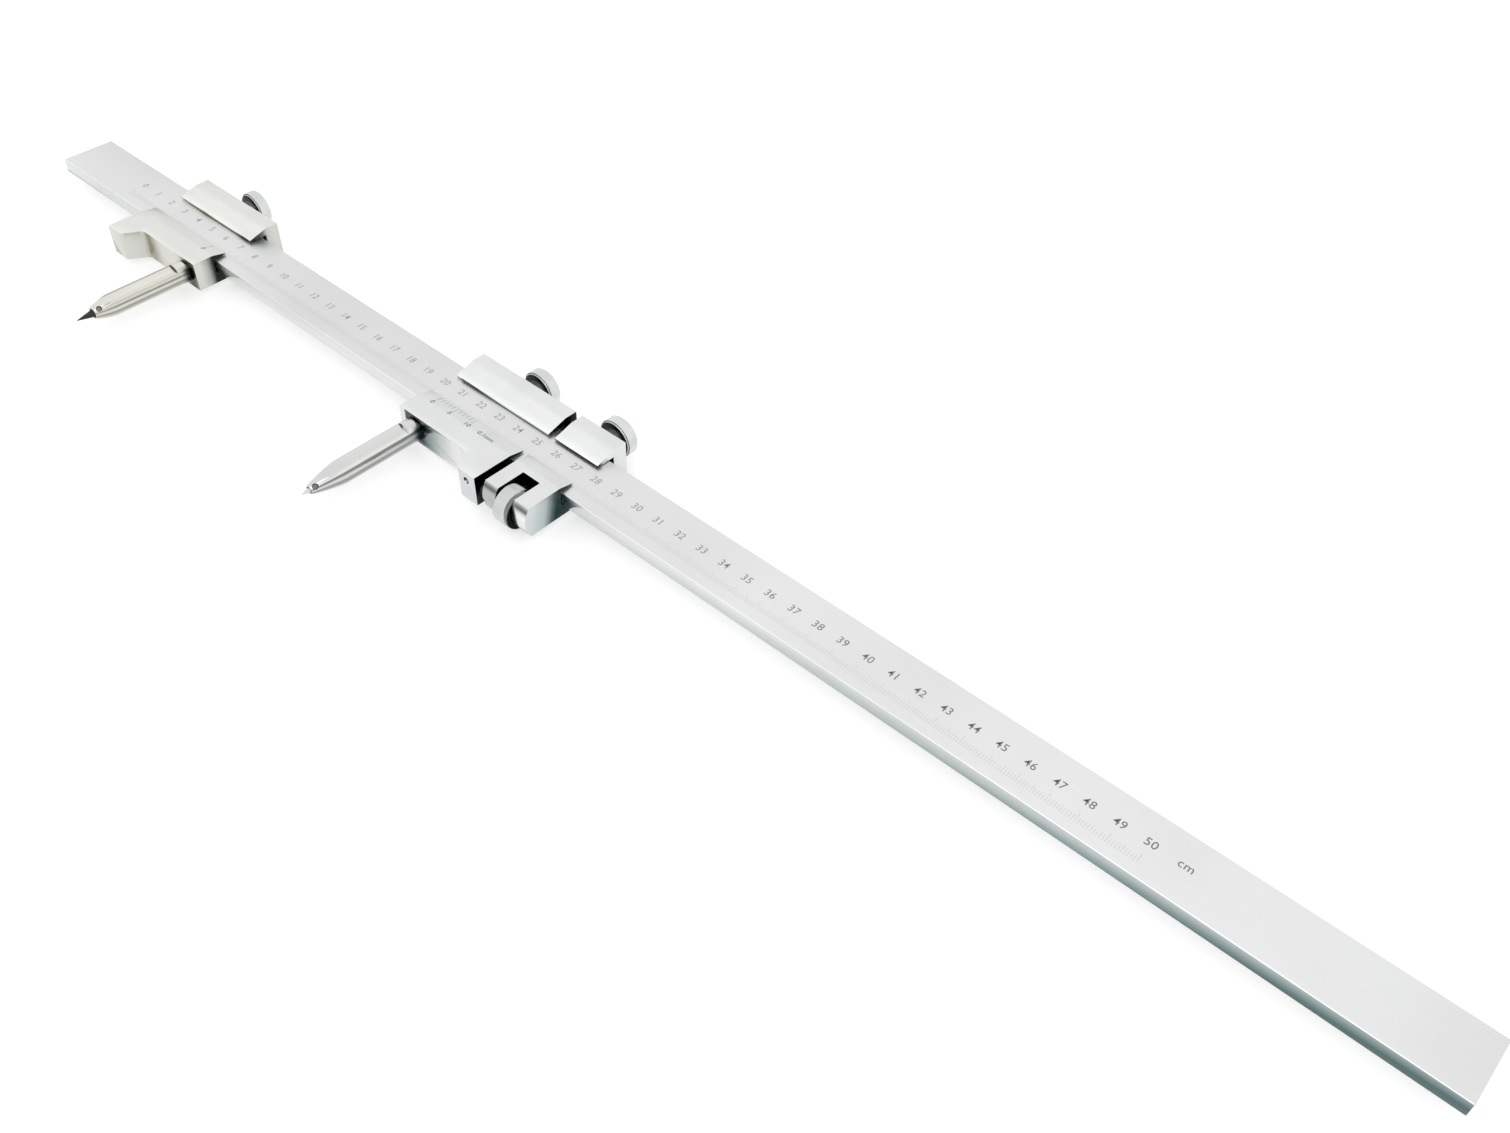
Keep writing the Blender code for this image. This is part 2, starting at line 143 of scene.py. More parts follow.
def boxMesh(low, high):
    shape = bmesh.new()
    bmesh.ops.create_cube(shape, size=1)
    for vert in shape.verts:
        for axis in range(3):
            vert.co[axis] = low[axis] if vert.co[axis] < 0 else high[axis]
    mesh = bpy.data.meshes.new("box")
    shape.to_mesh(mesh)
    shape.free()
    return mesh


def joined(name, meshes):
    shape = bmesh.new()
    for mesh in meshes:
        shape.from_mesh(mesh)
    whole = bpy.data.meshes.new(name)
    shape.to_mesh(whole)
    shape.free()
    return whole


def cut(piece, toolMesh, matrix):
    tool = bpy.data.objects.new("tool", toolMesh)
    tool.matrix_world = matrix
    scene.collection.objects.link(tool)
    boolean = piece.modifiers.new("cut", "BOOLEAN")
    boolean.operation = "DIFFERENCE"
    boolean.solver = "EXACT"
    boolean.object = tool
    applyModifiers(piece)
    bpy.data.objects.remove(tool, do_unlink=True)


def knurl(rim, height, teeth, depth):
    # straight grooves in whatever reaches the rim, less its height of rounding
    def wave(angle, radius, distance):
        if radius < rim - height:
            return radius
        phase = angle / fullTurn * teeth % 1
        return radius - depth * abs(2 * phase - 1)
    return wave


def threadWave(pitch, depth, start, end):
    def wave(angle, radius, distance):
        if not start < distance < end:
            return radius
        phase = (distance / pitch + angle / fullTurn) % 1
        return radius - depth * abs(2 * phase - 1)
    return wave


def middle(node, axis):
    low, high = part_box(node)
    return (low[axis] + high[axis]) / 2


# helpers for materials

class Nodes:
    def __init__(self, name):
        self.material = bpy.data.materials.new(name)
        self.material.use_nodes = True
        self.tree = self.material.node_tree
        self.shader = self.tree.nodes["Principled BSDF"]

    def add(self, kind, **values):
        node = self.tree.nodes.new(kind)
        for key, value in values.items():
            setattr(node, key, value)
        return node

    def link(self, source, target):
        self.tree.links.new(source, target)

    def feed(self, value, socket):
        # a link from an output, or a plain value
        if isinstance(value, bpy.types.NodeSocket):
            self.link(value, socket)
        else:
            socket.default_value = (*value, 1) if socket.type == "RGBA" else value

    def mapping(self, scale):
        place = self.add("ShaderNodeTexCoord")
        mapping = self.add("ShaderNodeMapping")
        mapping.inputs["Scale"].default_value = scale
        self.link(place.outputs["Object"], mapping.inputs["Vector"])
        return mapping.outputs["Vector"]

    def noise(self, scale, size, detail, roughness=0.5):
        texture = self.add("ShaderNodeTexNoise")
        texture.inputs["Scale"].default_value = size
        texture.inputs["Detail"].default_value = detail
        texture.inputs["Roughness"].default_value = roughness
        self.link(self.mapping(scale), texture.inputs["Vector"])
        return texture.outputs["Fac"]

    def ramp(self, source, stops):
        ramp = self.add("ShaderNodeValToRGB")
        self.link(source, ramp.inputs["Fac"])
        elements = ramp.color_ramp.elements
        while len(elements) < len(stops):
            elements.new(0.5)
        for element, (position, colour) in zip(elements, stops):
            element.position = position
            element.color = (*colour, 1)
        return ramp.outputs["Color"]

    def span(self, source, low, high, newLow, newHigh, kind="LINEAR"):
        node = self.add("ShaderNodeMapRange", interpolation_type=kind)
        self.link(source, node.inputs["Value"])
        limits = {"From Min": low, "From Max": high, "To Min": newLow, "To Max": newHigh}
        for name, value in limits.items():
            node.inputs[name].default_value = value
        return node.outputs["Result"]

    def fade(self, source, start, end):
        # 1 at start, 0 at end
        rising = float(start < end)
        return self.span(source, min(start, end), max(start, end), rising, 1 - rising, "SMOOTHSTEP")

    def mix(self, factor, first, second, blend="MIX"):
        node = self.add("ShaderNodeMix", data_type="RGBA", blend_type=blend)
        for name, kind, value in (("Factor", "VALUE", factor), ("A", "RGBA", first), ("B", "RGBA", second)):
            self.feed(value, next(s for s in node.inputs if s.name == name and s.type == kind))
        return next(s for s in node.outputs if s.type == "RGBA")

    def times(self, colour, shades):
        return self.mix(1.0, colour, shades, "MULTIPLY")

    def maths(self, operation, first, second):
        node = self.add("ShaderNodeMath", operation=operation)
        self.feed(first, node.inputs[0])
        self.feed(second, node.inputs[1])
        return node.outputs[0]

    def part(self, output, axis):
        # one coordinate of the object's own place or facing
        place = self.add("ShaderNodeTexCoord")
        split = self.add("ShaderNodeSeparateXYZ")
        self.link(place.outputs[output], split.inputs[0])
        return split.outputs[axis]

    def run(self, along, stops, cast):
        # light and dark along a line, from a few places; the cast tints what is dark
        place = self.add("ShaderNodeTexCoord")
        distance = self.add("ShaderNodeVectorMath", operation="DOT_PRODUCT")
        self.link(place.outputs["Object"], distance.inputs[0])
        distance.inputs[1].default_value = along
        low, high = stops[0][0], stops[-1][0]
        share = self.span(distance.outputs["Value"], low, high, 0, 1)
        shades = []
        for place, light in stops:
            shades.append(((place - low) / (high - low), tuple(light ** power for power in cast)))
        return self.ramp(share, shades)

    def tone(self, colour, values):
        # one shade, or light and dark along a line, on the faces that look one way
        mask = values.get("amount", 1.0)
        for output, limits in (("Normal", "facing"), ("Object", "within")):
            for axis, start, end in values.get(limits, ()):
                mask = self.maths("MULTIPLY", self.fade(self.part(output, axis), start, end), mask)
        if "shade" in values:
            shades = values["shade"]
        else:
            shades = self.run(values["along"], values["stops"], values.get("cast", (1, 1, 1)))
        return self.mix(mask, colour, self.times(colour, shades))

    def streaks(self, x, z, stops):
        # painted reflections and shade by the angle round a turned rod's axis
        across = self.maths("SUBTRACT", self.part("Object", "X"), x)
        up = self.maths("SUBTRACT", self.part("Object", "Z"), z)
        angle = self.maths("ARCTAN2", up, across)
        share = self.span(angle, -math.pi, math.pi, 0, 1)
        return self.ramp(share, [(0.5 + degrees / 360, (light, light, light)) for degrees, light in stops])

    def bump(self, heights, distance, strength):
        node = self.add("ShaderNodeBump")
        node.inputs["Distance"].default_value = distance
        node.inputs["Strength"].default_value = strength
        self.link(heights, node.inputs["Height"])
        self.link(node.outputs["Normal"], self.shader.inputs["Normal"])


# finishes of the metal

grainDepth = 0.00002


def brushedSteel(name, values):
    # fine lines along the grain, a slow drift of tone, and slightly uneven gloss
    made = Nodes(name)
    grain = made.noise(values["grain"], 1.0, 5.0, 0.65)
    cloud = made.noise((1, 1, 1), values["cloud"], 2.0)
    drift = made.ramp(cloud, [(0.30, values["low"]), (0.70, values["high"])])
    dim = 1 - values.get("contrast", 0.05)
    lines = made.ramp(grain, [(0.25, (dim, dim, dim)), (0.75, (1, 1, 1))])
    colour = made.times(drift, lines)
    # painted reflections and shade round a rod, where the finish asks for them
    if "turn" in values:
        colour = made.times(colour, made.streaks(*values["turn"]))
    for shades in values.get("tones", ()):
        colour = made.tone(colour, shades)
    made.link(colour, made.shader.inputs["Base Color"])
    rough = made.span(grain, 0.2, 0.8, *values["gloss"])
    for axis, start, end in values.get("polished", ()):
        shine = made.fade(made.part("Normal", axis), start, end)
        rough = made.maths("MULTIPLY", rough, made.span(shine, 0, 1, 1, values.get("polish", 0.75)))
    made.link(rough, made.shader.inputs["Roughness"])
    made.shader.inputs["Metallic"].default_value = values.get("metallic", 1.0)
    made.bump(grain, grainDepth, values.get("strength", 0.25))
    return made.material


scriberLeft = middle("left_scriber_holder", 0)
scriberRight = middle("right_scriber_holder", 0)
scriberUp = middle("right_scriber_needle", 2)

# facings: an axis, where the effect is full and where it ends
nearSide = ("Y", -0.95, -0.60)
rightEnd = ("X", 0.95, 0.60)
leftEnd = ("X", -0.95, -0.60)
upSide = ("Z", 0.95, 0.60)
# the near-black of painted shade, in gaps, hollows and dark reflections
shadeBlack = (0.016, 0.020, 0.021)

# how much darker red, green and blue get where a run of painted shade goes dark
coolCast, warmCast, greenCast = (1.3, 1, 1), (1, 1, 1.3), (1.1, 1, 1.1)


def allOver(facing, shade, *within, amount=1.0):
    return {"facing": facing, "within": within, "amount": amount, "shade": shade}


# painted reflections and shade round a rod, from below through its right side to the top: degrees and lightness
rodReflectionStops = [(-30, 0.9), (-12, 0.42), (0, 0.42), (7, 0.85), (17, 0.85), (22, 0.35), (32, 0.35), (35, 1.1),
            (60, 0.92), (120, 0.95), (126, 0.6)]
leftRodReflectionStops = [(-34, 0.9), (-12, 0.42), (-6, 0.5), (0, 0.85), (9, 0.85), (13, 0.45), (19, 0.45), (23, 0.9),
                (37, 0.75), (41, 1.0), (54, 0.9), (60, 1.03), (118, 1.0), (123, 0.6)]

# painted highlights on the broken edges, and painted light and shade on the lips' slopes, a little lighter near
# and darker far
shine, faint = (1.3, 1.32, 1.32), (1.2, 1.2, 1.2)
edgeUp, slopeUp = ("Z", 0.5, 0.3), ("Z", 0.9, 0.8)
paintedNearShine = allOver((("Y", -0.5, -0.3), edgeUp), shine)
paintedEdgeShine = (paintedNearShine, allOver((("X", 0.5, 0.3), edgeUp), shine), allOver((("X", -0.5, -0.3), edgeUp), faint))
paintedSlopeShades = (allOver((("Y", -0.2, -0.1), slopeUp), (1.1, 1.1, 1.1)),
               allOver((("Y", 0.15, 0.08), slopeUp), (0.93, 0.93, 0.93)))

# a finish holds the grain's fineness along X, Y and Z, how fine the slow drift is, its two tones,
# and the lowest and highest roughness
beamFinish = {
    "grain": (90, 2600, 900), "cloud": 14.0, "low": (0.71, 0.715, 0.705), "high": (0.77, 0.78, 0.775),
    "gloss": (0.26, 0.40), "polished": (nearSide,), "polish": 0.4,
    "tones": (
        # painted light on the top, lighter over its right part
        {"facing": (upSide,), "along": (1, 0, 0),
         "stops": [(0, 1.05), (0.2, 1.0), (0.5, 1.12), (0.58, 1.12), (0.64, 1.03)]},
        # painted shade on the right end
        allOver((rightEnd,), (0.8, 0.82, 0.8)),
        paintedNearShine,
        # painted reflection and shade on the near side, darker towards the right and lower down
        {"facing": (nearSide,), "along": (1, 0, -25), "cast": coolCast,
         "stops": [(0.05, 0.87), (0.2, 1.0), (0.34, 1.0), (0.42, 0.85), (0.5, 0.7), (0.6, 0.35), (0.64, 0.2)]})}
bodyFinish = {
    "grain": (1500, 1500, 1500), "cloud": 60.0, "low": (0.75, 0.76, 0.755), "high": (0.80, 0.81, 0.805),
    "gloss": (0.24, 0.36), "contrast": 0.03, "strength": 0.1, "polished": (nearSide, rightEnd)}

# painted shade and reflections on the left slider: its near face dark in the inner corner and beside the
# holder, and its right end dark where it faces the beam
leftPaintedLight = (
    {"facing": (("Y", -0.95, -0.25),), "along": (1, 0, 0), "cast": warmCast,
     "stops": [(0.076, 0.82), (0.083, 0.38), (0.09, 0.82), (0.1, 0.95), (0.104, 0.85), (0.11, 0.05),
               (0.113, 0.05), (0.115, 0.35)]},
    {"facing": (rightEnd,), "along": (0, 1, 0), "cast": greenCast,
     "stops": [(-0.018, 0.87), (-0.015, 0.65), (-0.0125, 0.04), (0.008, 0.08), (0.012, 0.2),
               (0.014, 0.72), (0.017, 0.8)]})
leftFinish = dict(bodyFinish, low=(0.745, 0.745, 0.715), high=(0.795, 0.795, 0.77),
                  tones=paintedEdgeShine + paintedSlopeShades + leftPaintedLight)

# painted shade on the vernier slider: its near face dark above and beside the holder and darker on the lug, and
# its right end black in the gap to the block
vernierPaintedLight = (
    {"facing": (nearSide,), "along": (1, 0, 0), "cast": coolCast,
     "stops": [(0.246, 0.96), (0.2484, 0.96), (0.249, 0.06), (0.257, 0.04), (0.26, 0.3), (0.268, 0.8),
               (0.275, 1.02), (0.279, 1.02), (0.284, 0.85), (0.295, 0.85)]},
    allOver((rightEnd,), shadeBlack))
vernierFinish = dict(bodyFinish, tones=paintedEdgeShine + paintedSlopeShades + vernierPaintedLight)

# the block's end face, the inside of its clevis, and the two cheeks' near faces: places for its painted light
# and shade
insideEnd, cheekFront, behindCheeks = ("X", 0.3195, 0.3200), ("Y", -0.0280, -0.0270), ("Y", -0.0270, -0.0280)
# painted light and shade on the block: its end face darker where it faces the beam, black inside the clevis, on
# its left end in the gap and behind the cheeks, and the cheeks' near faces a little cooler and darker
blockPaintedLight = (
    {"facing": (rightEnd,), "within": (("X", 0.3203, 0.3198),), "along": (0, 1, -0.25), "cast": coolCast,
     "stops": [(-0.025, 0.83), (-0.019, 0.7), (-0.0155, 0.2), (-0.0135, 0.04), (0.006, 0.08),
               (0.0075, 1.02), (0.014, 0.97)]},
    allOver((rightEnd,), shadeBlack, insideEnd),
    allOver((leftEnd,), shadeBlack),
    allOver((nearSide,), shadeBlack, behindCheeks),
    allOver((nearSide,), (1.0, 1.05, 1.03), cheekFront, ("X", 0.3115, 0.3110)),
    allOver((nearSide,), (0.58, 0.62, 0.60), cheekFront, ("X", 0.3080, 0.3085)))
blockFinish = dict(bodyFinish, tones=paintedEdgeShine + paintedSlopeShades + blockPaintedLight)

screwFinish = {
    "grain": (900, 3200, 900), "cloud": 80.0, "low": (0.68, 0.70, 0.69), "high": (0.76, 0.78, 0.77),
    "gloss": (0.18, 0.32)}
# painted shadow: the heads' near faces near-black
knobFinish = dict(screwFinish, tones=(allOver((("Y", -0.9, -0.3),), (0.02, 0.027, 0.025)),))
# painted shade: the nut darker on its underside
rimFinish = dict(screwFinish, low=(0.60, 0.63, 0.61), high=(0.68, 0.70, 0.68),
                 tones=(allOver((("Z", -0.8, 0.0),), (0.75, 0.75, 0.75)),))
darkFinish = dict(screwFinish, low=(0.02, 0.024, 0.024), high=(0.05, 0.055, 0.055))
pinFinish = dict(screwFinish, low=(0.22, 0.23, 0.23), high=(0.30, 0.31, 0.31))
# painted shade: the washer's right face black in the gap to the cheek
washerFinish = dict(screwFinish, low=(0.18, 0.19, 0.186), high=(0.27, 0.282, 0.278),
                    tones=(allOver((rightEnd,), (0.012, 0.016, 0.015)), allOver((rightEnd,), shadeBlack)))

# painted shade: a holder is dark where it enters its slider, except on top, and so is half the step where its
# flat begins
holderPaintedShade = allOver((("Z", 0.5, 0.95),), shadeBlack, ("Y", -0.0222, -0.0252), amount=0.92)
flatStepPaintedShade = allOver((nearSide,), shadeBlack, ("Y", -0.0300, -0.0320),
                       ("X", scriberRight - 0.0005, scriberRight + 0.0005))
# the holders' finishes carry the painted reflections round their rods and the painted shade above
holderFinish = {
    "grain": (700, 5200, 700), "cloud": 70.0, "low": (0.73, 0.735, 0.72), "high": (0.79, 0.795, 0.78),
    "gloss": (0.14, 0.26), "turn": (scriberRight, scriberUp, rodReflectionStops), "tones": (holderPaintedShade, flatStepPaintedShade)}
leftHolderFinish = dict(holderFinish, low=(0.735, 0.735, 0.665), high=(0.79, 0.79, 0.715),
                        turn=(scriberLeft, scriberUp, leftRodReflectionStops))
needleFinish = {
    "grain": (3000, 900, 3000), "cloud": 200.0, "low": (0.55, 0.56, 0.57), "high": (0.68, 0.69, 0.70),
    "gloss": (0.18, 0.30)}
leadFinish = {
    "grain": (2500, 800, 2500), "cloud": 300.0, "low": (0.012, 0.011, 0.010), "high": (0.035, 0.033, 0.032),
    "gloss": (0.38, 0.55), "metallic": 0.3}
springFinish = {
    "grain": (60, 2000, 900), "cloud": 90.0, "low": (0.10, 0.11, 0.12), "high": (0.18, 0.19, 0.21),
    "gloss": (0.28, 0.45)}

inkFinish = {
    "grain": (2500, 2500, 2500), "cloud": 500.0, "low": (0.10, 0.105, 0.11), "high": (0.14, 0.145, 0.15),
    "gloss": (0.45, 0.65), "metallic": 0.0}
numberFinish = dict(inkFinish, low=(0.36, 0.365, 0.37), high=(0.42, 0.425, 0.43),
                    tones=({"along": (1, 0, 0), "stops": [(0.33, 1), (0.42, 0.6), (0.52, 0.45)]},))
tickFinish = dict(inkFinish, low=(0.46, 0.465, 0.47), high=(0.52, 0.525, 0.53))

springSteel = brushedSteel("springSteel", springFinish)
for node in ("left_gib", "vernier_gib", "fine_gib"):
    for slot in nodes[node].material_slots:
        slot.material = springSteel
print("finishes done")


# the beam and its scale
beamValues = {"edge": 0.00035, "zero": 0.045, "count": 51, "step": 0.010, "row": 0.0010, "size": 0.0041,
              "unitPlace": 0.556, "tickFrom": -0.0072, "tick": 0.0023, "middleTick": 0.0030,
              "longTick": 0.0038, "tickWidth": 0.00011, "proud": 0.00001, "bold": 0.00001, "letterSteps": 3,
              "spacing": 1.05}
beamLow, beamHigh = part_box("beam")
bar = addObject("beam_bar", boxMesh(beamLow, beamHigh), brushedSteel("beamSteel", beamFinish), "beam")
softEdges(bar, beamValues["edge"], 3)
shade(bar)
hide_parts("beam")


def letters(text, size, matrix, bold=beamValues["bold"]):
    curve = bpy.data.curves.new("letters", "FONT")
    curve.body = text
    curve.size = size
    curve.align_x = "CENTER"
    curve.align_y = "CENTER"
    curve.extrude = beamValues["proud"]
    curve.offset = bold
    curve.resolution_u = beamValues["letterSteps"]
    curve.space_character = beamValues["spacing"]
    item = bpy.data.objects.new("letters", curve)
    scene.collection.objects.link(item)
    mesh = finalMesh(item)
    mesh.transform(matrix)
    bpy.data.objects.remove(item, do_unlink=True)
    return mesh


beamTop = beamHigh[2]
top = beamTop + beamValues["proud"]


def onScale(text, x):
    return letters(text, beamValues["size"], Matrix.Translation((x, beamValues["row"], top)))


numbers = []
for number in range(beamValues["count"]):
    numbers.append(onScale(str(number), beamValues["zero"] + number * beamValues["step"]))
numbers.append(onScale("cm", beamValues["unitPlace"]))
numberInk = brushedSteel("numberInk", numberFinish)
scaleNumbers = addObject("scale_numbers", joined("scale_numbers", numbers), numberInk, "beam")

ticks = []
half = beamValues["tickWidth"] / 2
near, under = beamValues["tickFrom"], beamTop - beamValues["proud"]
for line in range((beamValues["count"] - 1) * 10 + 1):
    x = beamValues["zero"] + line * beamValues["step"] / 10
    kind = "longTick" if line % 10 == 0 else "middleTick" if line % 5 == 0 else "tick"
    ticks.append(boxMesh((x - half, near, under), (x + half, near + beamValues[kind], top)))
tickInk = brushedSteel("tickInk", tickFinish)
scaleTicks = addObject("scale_ticks", joined("scale_ticks", ticks), tickInk, "beam")
print("beam done")

# the slider bodies with their broken edges
bodyEdge = 0.00022
leftSteel = brushedSteel("leftSteel", leftFinish)
vernierSteel = brushedSteel("vernierSteel", vernierFinish)
blockSteel = brushedSteel("blockSteel", blockFinish)
for node, body, material in (("left_slider_body", "left_slider", leftSteel),
                             ("vernier_slider_body", "vernier_slider", vernierSteel),
                             ("fine_block_body", "fine_block", blockSteel)):
    piece = addObject(node + "_milled", cleanCopy(node, node + "_milled"), material, body)
    softEdges(piece, bodyEdge, 2)
    shade(piece, 32)
    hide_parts(node)

# index and vernier marks on the near slopes
slopeValues = {"tip": (-0.0062, 0.0038), "run": 0.0058, "rise": 0.0012, "size": 0.0028, "bigSize": 0.0030,
               "tick": 0.0022, "longer": 1.35, "tickWidth": 0.00011, "tickDown": 0.0004, "zero": 0.2525,
               "step": 0.0019, "unitPlace": 0.2815, "unitDown": 0.0048, "numberDown": 0.0049,
               "bold": 0.00002, "unitBold": 0.00003}
slope = math.hypot(slopeValues["run"], slopeValues["rise"])
alongY, alongZ = slopeValues["run"] / slope, -slopeValues["rise"] / slope


def onSlope(x, down):
    # x along the beam, y up the slope towards the lip's tip
    y = slopeValues["tip"][0] - down * alongY
    z = slopeValues["tip"][1] - down * alongZ
    lift = beamValues["proud"]
    return Matrix(((1, 0, 0, x),
                   (0, alongY, -alongZ, y - alongZ * lift),
                   (0, alongZ, alongY, z + alongY * lift),
                   (0, 0, 0, 1)))


def slopeTick(x, isLong):
    half = slopeValues["tickWidth"] / 2
    reach = slopeValues["tick"] * (slopeValues["longer"] if isLong else 1)
    proud = beamValues["proud"]
    mesh = boxMesh((x - half, -reach, -2 * proud), (x + half, 0, proud))
    mesh.transform(onSlope(0, slopeValues["tickDown"]))
    return mesh


marks = []
for step in range(11):
    marks.append(slopeTick(slopeValues["zero"] + step * slopeValues["step"], step % 5 == 0))
for step in (0, 5, 10):
    place = onSlope(slopeValues["zero"] + step * slopeValues["step"], slopeValues["numberDown"])
    marks.append(letters(str(step), slopeValues["bigSize"], place, slopeValues["bold"]))
unitPlace = onSlope(slopeValues["unitPlace"], slopeValues["unitDown"])
marks.append(letters("0.1mm", slopeValues["size"], unitPlace, slopeValues["unitBold"]))
ink = brushedSteel("ink", inkFinish)
vernierMarks = addObject("vernier_marks", joined("vernier_marks", marks), ink, "vernier_slider")

zeroPlace = onSlope(scriberLeft, slopeValues["numberDown"])
index = [slopeTick(scriberLeft, True), letters("0", slopeValues["bigSize"], zeroPlace)]
indexMark = addObject("index_mark", joined("index_mark", index), ink, "left_slider")
print("bodies done")

# knurled thumb screws: a thread, a collar, and a head with a dished end
# rounding and dish are steps in from the head's face and down from its rim
screwValues = {"thread": 0.0025, "pitch": 0.0008, "depth": 0.00022, "stepsPerTurn": 8, "point": 0.0005,
               "lead": 0.0006, "runOut": 0.0002, "collar": 0.00425, "collarLength": 0.0012,
               "collarEdge": 0.0002, "fillet": 0.0001, "head": 0.0075, "headLength": 0.0052,
               "steps": 48, "teeth": 96, "stepsPerTooth": 4, "knurl": 0.00012, "knurlFrom": 0.00031,
               "nearRounding": [(0, 0.0009), (0.0001, 0.00065), (0.00055, 0.0003), (0.00065, 0.00005),
                                (0.0008, 0)],
               "farRounding": [(0.0008, 0), (0.00065, 0.00005), (0.00055, 0.0003), (0.0001, 0.0007),
                               (0, 0.0009)],
               "dish": [(0, 0.0018), (0.0004, 0.0024)],
               "centre": [(0.0004, 0.0012), (0.0002, 0.0006), (0.0002, 0)]}
screwSteel = brushedSteel("screwSteel", screwFinish)
knobSteel = brushedSteel("knobSteel", knobFinish)


def screwThread(v, start, collarStart):
    step = v["pitch"] / v["stepsPerTurn"]
    count = int((collarStart - start - v["lead"]) / step)
    profile = [(start, 0), (start, v["thread"] - v["lead"]), (start + v["point"], v["thread"])]
    profile += [(start + v["lead"] + turn * step, v["thread"]) for turn in range(1, count)]
    return profile + [(collarStart, v["thread"] - v["depth"]), (collarStart, 0)]


def screwHead(v, collarStart, headStart, end):
    profile = [(collarStart, 0), (collarStart, v["collar"] - v["collarEdge"]),
               (collarStart + v["collarEdge"], v["collar"]), (headStart - v["fillet"], v["collar"]),
               (headStart, v["collar"] + v["fillet"])]
    profile += [(headStart + inward, v["head"] - down) for inward, down in v["nearRounding"]]
    profile += [(end - inward, v["head"] - down) for inward, down in v["farRounding"] + v["dish"]]
    return profile + [(end - inward, radius) for inward, radius in v["centre"]]


def lockScrew(node, body):
    v = screwValues
    low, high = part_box(node)
    start, end = low[1], high[1]
    headStart = end - v["headLength"]
    collarStart = headStart - v["collarLength"]
    centre = (middle(node, 0), 0, middle(node, 2))
    wave = threadWave(v["pitch"], v["depth"], start + v["lead"], collarStart - v["runOut"])
    mesh = turned(screwThread(v, start, collarStart), "Y", v["steps"], centre, wave)
    shank = addObject(node + "_thread", mesh, screwSteel, body)
    shade(shank, 40)
    wave = knurl(v["head"], v["knurlFrom"], v["teeth"], v["knurl"])
    profile = screwHead(v, collarStart, headStart, end)
    mesh = turned(profile, "Y", v["teeth"] * v["stepsPerTooth"], centre, wave)
    cap = addObject(node + "_head", mesh, knobSteel, body)
    shade(cap, 28)
    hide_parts(node)


lockScrew("left_lock_screw", "left_lock")
lockScrew("vernier_lock_screw", "vernier_lock")
lockScrew("fine_lock_screw", "fine_lock")

# fine adjustment: the nut, with a shallow recess in its left face
nutValues = {"bore": 0.0023, "hub": 0.0042, "recess": 0.0045, "recessDepth": 0.0002, "recessRim": 0.0012,
             "rounding": [(0, 0.0010), (0.0001, 0.0008), (0.0006, 0.0002), (0.0008, 0)],
             "teeth": 100, "stepsPerTooth": 4, "knurl": 0.00008, "knurlFrom": 0.00021}
nutLow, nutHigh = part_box("fine_nut")
left, right, rim = nutLow[0], nutHigh[0], (nutHigh[1] - nutLow[1]) / 2
fineAxis = (0, middle("fine_nut", 1), middle("fine_nut", 2))
recessFloor = left + nutValues["recessDepth"]
profile = [(left, nutValues["bore"]), (left, nutValues["hub"]), (recessFloor, nutValues["recess"]),
           (recessFloor, rim - nutValues["recessRim"])]
profile += [(left + inward, rim - down) for inward, down in nutValues["rounding"]]
profile += [(right - inward, rim - down) for inward, down in reversed(nutValues["rounding"])]
profile += [(right, nutValues["bore"]), (left, nutValues["bore"])]
nutWave = knurl(rim, nutValues["knurlFrom"], nutValues["teeth"], nutValues["knurl"])
mesh = turned(profile, "X", nutValues["teeth"] * nutValues["stepsPerTooth"], fineAxis, nutWave)
nut = addObject("fine_nut_knurled", mesh, brushedSteel("nutSteelRim", rimFinish), "nut")
shade(nut, 28)
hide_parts("fine_nut")

# the thrust washer
washerEdge, washerSteps = 0.0002, 128
washLow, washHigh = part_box("fine_thrust_washer")
left, right, rim = washLow[0], washHigh[0], (washHigh[1] - washLow[1]) / 2
profile = [(left, nutValues["bore"]), (left, rim - washerEdge), (left + washerEdge, rim),
           (right - washerEdge, rim), (right, rim - washerEdge), (right, nutValues["bore"]),
           (left, nutValues["bore"])]
mesh = turned(profile, "X", washerSteps, fineAxis)
washer = addObject("fine_washer_turned", mesh, brushedSteel("nutSteel", washerFinish), "fine_block")
shade(washer)
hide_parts("fine_thrust_washer")

# the fine screw: a plain root in the slider's lug, then the thread
rodValues = {"root": 0.0030, "edge": 0.0003, "thread": 0.0020, "pitch": 0.0005, "depth": 0.00016,
             "stepsPerTurn": 6, "steps": 40, "waveFrom": 0.0002, "chamfer": 0.0005, "plain": 0.0008}
rodLow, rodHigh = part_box("fine_screw")
start, end = rodLow[0], rodHigh[0]
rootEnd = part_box("vernier_slider_body")[1][0]
root, edge, thread = rodValues["root"], rodValues["edge"], rodValues["thread"]
profile = [(start, 0), (start, root - edge), (start + edge, root), (rootEnd - edge, root),
           (rootEnd, root - edge), (rootEnd, thread)]
step = rodValues["pitch"] / rodValues["stepsPerTurn"]
count = int((end - rootEnd - rodValues["plain"]) / step)
profile += [(rootEnd + edge + turn * step, thread) for turn in range(count)]
profile += [(end - rodValues["chamfer"], thread), (end, thread - rodValues["chamfer"]), (end, 0)]
rodWave = threadWave(rodValues["pitch"], rodValues["depth"], rootEnd + rodValues["waveFrom"],
                     end - rodValues["chamfer"])
screwDark = brushedSteel("screwDark", darkFinish)
mesh = turned(profile, "X", rodValues["steps"], fineAxis, rodWave)
fineScrew = addObject("fine_screw_cut", mesh, screwDark, "vernier_slider")
shade(fineScrew, 40)
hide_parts("fine_screw")

